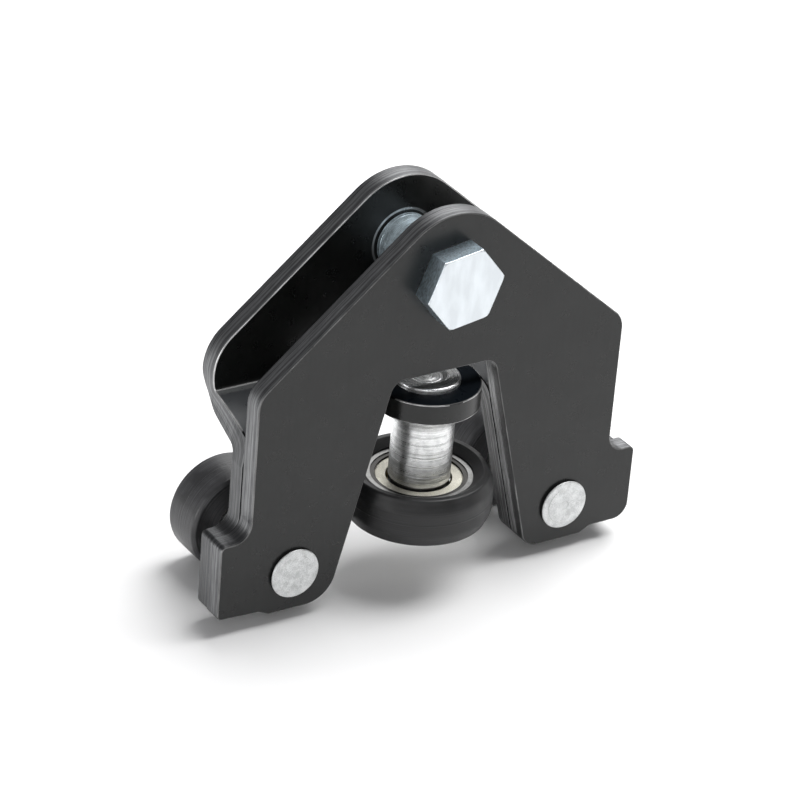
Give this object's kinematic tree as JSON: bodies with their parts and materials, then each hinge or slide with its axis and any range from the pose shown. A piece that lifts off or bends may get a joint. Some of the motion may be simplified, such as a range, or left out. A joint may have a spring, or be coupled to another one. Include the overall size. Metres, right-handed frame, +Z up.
{
  "type": "sliding rail trolley",
  "caption": "Black steel clevis trolley that runs in a rail on two load rollers and an upright guide roller, with a pivot bolt and spacer sleeve at its top.",
  "frame": {"origin": "on the pivot bolt's axis, midway between the two cheeks", "axes": "+X to the right along the rail, +Y to the back (from bolt head to nut), +Z up; the front cheek faces -Y"},
  "size_m": [0.0962, 0.0415, 0.0822],
  "materials": {
    "black_coat": "satin black electro-coat on stamped steel",
    "zinc_bright": "bright zinc plate, faintly brushed",
    "zinc_turned": "zinc plate over turned steel, with fine rings",
    "zinc_dull": "dull zinc plate on spring steel",
    "rivet_grey": "matte light grey zinc, slightly granular",
    "guide_plastic": "satin black moulded polyamide",
    "load_plastic": "satin black moulded polyamide",
    "bearing_steel": "ground bearing steel",
    "ball_steel": "polished bearing steel",
    "cage_brass": "pressed steel with a yellow passivated tint",
    "shield_steel": "thin pressed sheet, warm pale grey",
    "clip_steel": "dark spring wire"
  },
  "bodies": {
    "carriage": {"front_cheek": "black_coat", "rear_cheek": "black_coat", "pivot_bolt": "zinc_bright", "pivot_sleeve": "zinc_turned", "pivot_spring_washer": "zinc_dull", "pivot_nut": "zinc_bright", "guide_pin": "zinc_turned", "left_axle": "rivet_grey", "right_axle": "rivet_grey", "guide_inner_ring": "bearing_steel", "left_inner_ring": "bearing_steel", "right_inner_ring": "bearing_steel"},
    "guide_roller": {"guide_tyre": "guide_plastic", "guide_outer_ring": "bearing_steel", "guide_upper_shield": "shield_steel", "guide_lower_shield": "shield_steel", "guide_upper_clip": "clip_steel", "guide_lower_clip": "clip_steel"},
    "guide_ball_train": {"guide_cage": "cage_brass", "guide_balls": "ball_steel"},
    "left_roller": {"left_tyre": "load_plastic", "left_outer_ring": "bearing_steel", "left_front_shield": "shield_steel", "left_back_shield": "shield_steel"},
    "left_ball_train": {"left_cage": "cage_brass", "left_balls": "ball_steel"},
    "right_roller": {"right_tyre": "load_plastic", "right_outer_ring": "bearing_steel", "right_front_shield": "shield_steel", "right_back_shield": "shield_steel"},
    "right_ball_train": {"right_cage": "cage_brass", "right_balls": "ball_steel"}
  },
  "joints": [
    {"name": "guide_roller_spin", "type": "hinge", "parent": "carriage", "child": "guide_roller", "pos_m": [0, -0.0055, -0.0491], "axis": [0, 0, 1], "continuous": true},
    {"name": "guide_ball_train_spin", "type": "hinge", "parent": "carriage", "child": "guide_ball_train", "pos_m": [0, -0.0055, -0.0491], "axis": [0, 0, 1], "continuous": true},
    {"name": "left_roller_spin", "type": "hinge", "parent": "carriage", "child": "left_roller", "pos_m": [-0.0315, 0.01365, -0.0571], "axis": [0, 1, 0], "continuous": true},
    {"name": "left_ball_train_spin", "type": "hinge", "parent": "carriage", "child": "left_ball_train", "pos_m": [-0.0315, 0.01365, -0.0571], "axis": [0, 1, 0], "continuous": true},
    {"name": "right_roller_spin", "type": "hinge", "parent": "carriage", "child": "right_roller", "pos_m": [0.0315, 0.01365, -0.0571], "axis": [0, 1, 0], "continuous": true},
    {"name": "right_ball_train_spin", "type": "hinge", "parent": "carriage", "child": "right_ball_train", "pos_m": [0.0315, 0.01365, -0.0571], "axis": [0, 1, 0], "continuous": true}
  ],
  "couplings": [
    {"joint": "guide_ball_train_spin", "follows": "guide_roller_spin", "ratio": 0.632},
    {"joint": "left_ball_train_spin", "follows": "left_roller_spin", "ratio": 0.6522},
    {"joint": "right_ball_train_spin", "follows": "right_roller_spin", "ratio": 0.6522}
  ]
}
